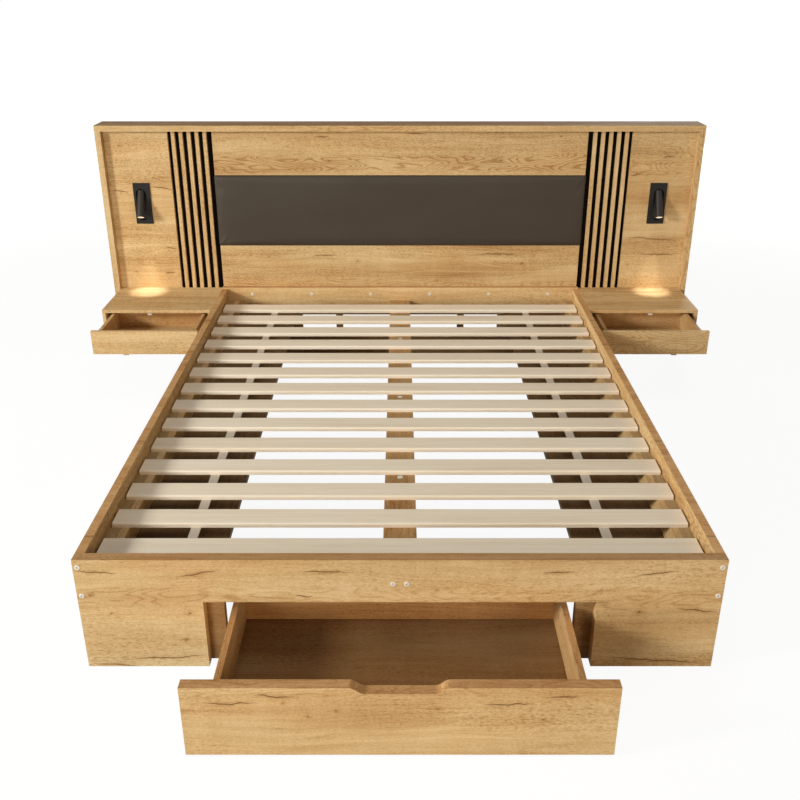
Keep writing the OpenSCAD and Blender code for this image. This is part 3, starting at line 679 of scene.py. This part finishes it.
# The cover reaches PAD_SPILL past the solid on its four sides, which draw in by PAD_DRAW
# between the corners. The pad starts PAD_THIN thinner than the solid and swells by PAD_SWELL
# at most. A higher PAD_FLATNESS keeps its crown flat further out.
PAD_SPILL = 0.001
PAD_DRAW = 0.0005
PAD_THIN = 0.0015
PAD_SWELL = 0.002
PAD_ROUND = 0.007
PAD_CROWN = 0.006
PAD_FLATNESS = 18
PAD_COLUMNS = 60
PAD_ROWS = 18
PAD_VOXEL = 0.0055
PAD_FRAMES = 20
PAD_CLOTH = {
    "quality": 4,
    "mass": 0.4,
    "tension_stiffness": 25,
    "compression_stiffness": 25,
    "bending_stiffness": 5,
    "use_pressure": True,
    "uniform_pressure_force": 3,
}


def mesh_piece(name, points, faces, material, smooth=True):
    """A new object from points and faces, with its faces turned outwards."""
    mesh = bpy.data.meshes.new(name)
    mesh.from_pydata([tuple(p) for p in points], [], faces)
    shape = bmesh.new()
    shape.from_mesh(mesh)
    bmesh.ops.recalc_face_normals(shape, faces=shape.faces)
    shape.to_mesh(mesh)
    shape.free()
    for face in mesh.polygons:
        face.use_smooth = smooth
    mesh.materials.append(material)
    piece = bpy.data.objects.new(name, mesh)
    bpy.context.scene.collection.objects.link(piece)
    return piece


def spread(half, count):
    """Places from -half to half, dense towards both ends."""
    return [half * math.sin(math.pi / 2 * k / count) for k in range(-count, count + 1)]


def pad_block():
    """The pad before it swells: a crowned block with rounded edges and a flat back."""
    low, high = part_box("headboard_pad")
    half_x, half_z = (high.x - low.x) / 2 + PAD_SPILL, (high.z - low.z) / 2 + PAD_SPILL
    middle_x, middle_z = (high.x + low.x) / 2, (high.z + low.z) / 2
    deep = high.y - low.y - PAD_THIN
    columns, rows = spread(half_x, PAD_COLUMNS), spread(half_z, PAD_ROWS)

    def front(x, z):
        crown = math.sqrt(1 - (abs(x) / half_x) ** PAD_FLATNESS)
        edge = min(half_x - abs(x), half_z - abs(z))
        rounding = 0.0
        if edge < PAD_ROUND:
            rounding = PAD_ROUND - math.sqrt(PAD_ROUND**2 - (PAD_ROUND - edge) ** 2)
        return deep - PAD_CROWN + PAD_CROWN * crown - rounding

    points, index = [], {}
    for j, z in enumerate(rows):
        for i, x in enumerate(columns):
            index[i, j] = len(points)
            draw_x = PAD_DRAW * (1 - (z / half_z) ** 2) * (x / half_x)
            draw_z = PAD_DRAW * (1 - (x / half_x) ** 2) * (z / half_z)
            points.append((middle_x + x - draw_x, high.y - front(x, z), middle_z + z - draw_z))
    last_i, last_j = len(columns) - 1, len(rows) - 1
    faces = [
        (index[i, j], index[i + 1, j], index[i + 1, j + 1], index[i, j + 1])
        for j in range(last_j)
        for i in range(last_i)
    ]
    rim = [index[i, 0] for i in range(last_i)] + [index[last_i, j] for j in range(last_j)]
    rim += [index[i, last_j] for i in range(last_i, 0, -1)]
    rim += [index[0, j] for j in range(last_j, 0, -1)]
    back = []
    for k in rim:
        back.append(len(points))
        points.append((points[k][0], high.y, points[k][2]))
    for k in range(len(rim)):
        n = (k + 1) % len(rim)
        faces.append((rim[k], rim[n], back[n], back[k]))
    faces.append(tuple(back))
    return mesh_piece("headboard_cushion", points, faces, upholstery())


def evaluated(piece):
    """The piece's mesh with its modifiers applied."""
    graph = bpy.context.evaluated_depsgraph_get()
    graph.update()
    return bpy.data.meshes.new_from_object(piece.evaluated_get(graph))


def swell(piece, back_y):
    """Fills the pad like foam under its cover. Its back stays, and nothing moves far."""
    remesh = piece.modifiers.new("Even", "REMESH")
    remesh.mode = "VOXEL"
    remesh.voxel_size = PAD_VOXEL
    remesh.use_smooth_shade = True
    mesh = evaluated(piece)
    piece.modifiers.clear()
    piece.data = mesh
    start = [vertex.co.copy() for vertex in mesh.vertices]
    held = piece.vertex_groups.new(name="held")
    held.add([k for k, co in enumerate(start) if co.y > back_y - PAD_VOXEL], 1.0, "REPLACE")
    cloth = piece.modifiers.new("Cloth", "CLOTH")
    for key, value in PAD_CLOTH.items():
        setattr(cloth.settings, key, value)
    cloth.settings.vertex_group_mass = held.name
    cloth.settings.effector_weights.gravity = 0
    cloth.point_cache.frame_start = 1
    cloth.point_cache.frame_end = PAD_FRAMES
    scene = bpy.context.scene
    for number in range(1, PAD_FRAMES + 1):
        scene.frame_set(number)
    swollen = evaluated(piece)
    for vertex, place_before in zip(swollen.vertices, start):
        move = vertex.co - place_before
        if move.length > PAD_SWELL:
            vertex.co = place_before + move * (PAD_SWELL / move.length)
    piece.modifiers.clear()
    piece.vertex_groups.clear()
    piece.data = swollen
    scene.frame_set(1)
    for face in swollen.polygons:
        face.use_smooth = True
    smoother = piece.modifiers.new("Finer", "SUBSURF")
    smoother.levels = 1
    smoother.render_levels = 1


cushion = pad_block()
swell(cushion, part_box("headboard_pad")[1].y)
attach(cushion, "bed")
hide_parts("headboard_pad")


# ---------------------------------------------------------------- stage, lights and camera

FLOOR_REACH = 80.0
FLOOR_SHADE = 0.25
SHADOW_DEPTH = 0.07
# The lamps light the floor at less than full, so what it reflects is this many times as strong
FLOOR_MAKE_UP = 1.25
# Between these distances from the middle the floor goes over into plain white
FLOOR_FADE = (2.5, 5.0)

WORLD_LEVEL = 0.04
WORLD_COLOUR = (1.0, 0.78, 0.58, 1.0)
WHITE = (1.0, 1.0, 1.0, 1.0)

BED_MIDDLE = (0.0, 0.0, 0.35)
LIGHTS = (
    # name, place, what it looks at, size, level and colour
    ("key", (-6.0, -2.7, 2.6), BED_MIDDLE, 1.1, 0.78, (1.0, 0.98, 0.93)),
    ("front_left", (-2.6, -6.2, 1.2), BED_MIDDLE, 2.5, 0.36, (1.0, 0.97, 0.92)),
    ("front_right", (4.5, -5.5, 2.0), BED_MIDDLE, 2.5, 0.20, (1.0, 0.76, 0.54)),
    ("top", (0.0, -0.5, 5.5), BED_MIDDLE, 3.5, 0.27, (1.0, 0.96, 0.91)),
    ("back", (2.5, 6.5, 0.8), (0.0, 0.0, 0.45), 1.5, 0.40, (1.0, 0.97, 0.92)),
)

READING_POWER = 5.8
READING_COLOUR = (0.98, 0.98, 1.0)
READING_CONE = math.radians(35)
READING_RADIUS = 0.010
# How far the light sits below its lens, and how far before the wall it meets the nightstand
READING_DROP = 0.003
READING_OFF_WALL = 0.052

CAMERA_AT = (0.0, -2.6190, 1.4783)
CAMERA_DOWN = math.radians(24.62)
CAMERA_LENS = 42.12
CAMERA_SENSOR = 36.0


def seen(tree):
    """1 where the camera, a mirror or glass sees the surface, and 0 for the light that it gives."""
    path = tree.add("LightPath", {}).outputs
    mirrored = tree.larger(path["Is Glossy Ray"], path["Is Transmission Ray"])
    return tree.larger(path["Is Camera Ray"], mirrored)


def floor():
    """A pale floor that looks white, with the object's faint shadow on it."""
    signs = ((-1, -1), (1, -1), (1, 1), (-1, 1))
    corners = [(x * FLOOR_REACH, y * FLOOR_REACH, 0) for x, y in signs]
    t = material_tree("floor")
    point = t.parts(spot_of(t))
    far = t.step(t.length(t.vector(point["X"], point["Y"])), *FLOOR_FADE)
    white = seen(t)
    shade = t.blend(white, FLOOR_SHADE, SHADOW_DEPTH * FLOOR_MAKE_UP)
    diffuse = t.add("BsdfDiffuse", {"Color": t.vector(shade, shade, shade)}).outputs[0]
    strength = t.times(white, t.blend(far, 1.0 - SHADOW_DEPTH, 1.0))
    glow = t.add("Emission", {"Strength": strength}).outputs[0]
    t.end("OutputMaterial", t.add("AddShader", {0: diffuse, 1: glow}).outputs[0])
    piece = mesh_piece("floor", corners, [(0, 1, 2, 3)], t.owner, smooth=False)


def world():
    """White where the camera or a reflection sees it, and a little warm light elsewhere."""
    scene_world = bpy.data.worlds.new("studio")
    bpy.context.scene.world = scene_world
    t = Tree(scene_world)
    white = seen(t)
    colour = t.mix(white, WORLD_COLOUR, WHITE)
    strength = t.blend(white, WORLD_LEVEL, 1.0)
    background = t.add("Background", {"Color": colour, "Strength": strength})
    t.end("OutputWorld", background.outputs[0])


def add_light(name, kind, energy, colour):
    """A new light of this kind, and its object."""
    data = bpy.data.lights.new(name, kind)
    data.energy = energy
    data.color = colour
    lamp = bpy.data.objects.new(name, data)
    bpy.context.scene.collection.objects.link(lamp)
    return data, lamp


def aim(lamp, target):
    lamp.rotation_euler = (target - lamp.location).to_track_quat("-Z", "Y").to_euler()


def area_light(name, at, towards, size, level, colour):
    """A square light that gives a facing surface this share of full light."""
    distance = (Vector(towards) - Vector(at)).length
    data, lamp = add_light(name, "AREA", level * math.pi**2 * distance**2, colour)
    data.size = size
    lamp.location = at
    aim(lamp, Vector(towards))


def reading_light(side):
    """A reading lamp's light, which makes a pool at the foot of the wall and goes with its tube."""
    data, lamp = add_light(f"reading_{side}", "SPOT", READING_POWER, READING_COLOUR)
    data.spot_size = READING_CONE
    data.spot_blend = 1.0
    data.shadow_soft_size = READING_RADIUS
    low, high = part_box(f"lamp_lens_{side}")
    lamp.location = ((low.x + high.x) / 2, (low.y + high.y) / 2, low.z - READING_DROP)
    wall_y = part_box(f"wing_panel_{side}")[0].y
    table_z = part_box(f"nightstand_top_{side}")[1].z
    aim(lamp, Vector((lamp.location.x, wall_y - READING_OFF_WALL, table_z)))
    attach(lamp, f"lamp_{side}")


def camera():
    """The photograph's view: level across, looking along the bed and down."""
    data = bpy.data.cameras.new("camera")
    data.sensor_width = CAMERA_SENSOR
    data.lens = CAMERA_LENS
    view = bpy.data.objects.new("camera", data)
    bpy.context.scene.collection.objects.link(view)
    view.location = CAMERA_AT
    view.rotation_euler = (math.pi / 2 - CAMERA_DOWN, 0.0, 0.0)
    bpy.context.scene.camera = view


floor()
world()
for light in LIGHTS:
    area_light(*light)
for side in ("left", "right"):
    reading_light(side)
camera()
bpy.context.scene.view_settings.view_transform = "Standard"
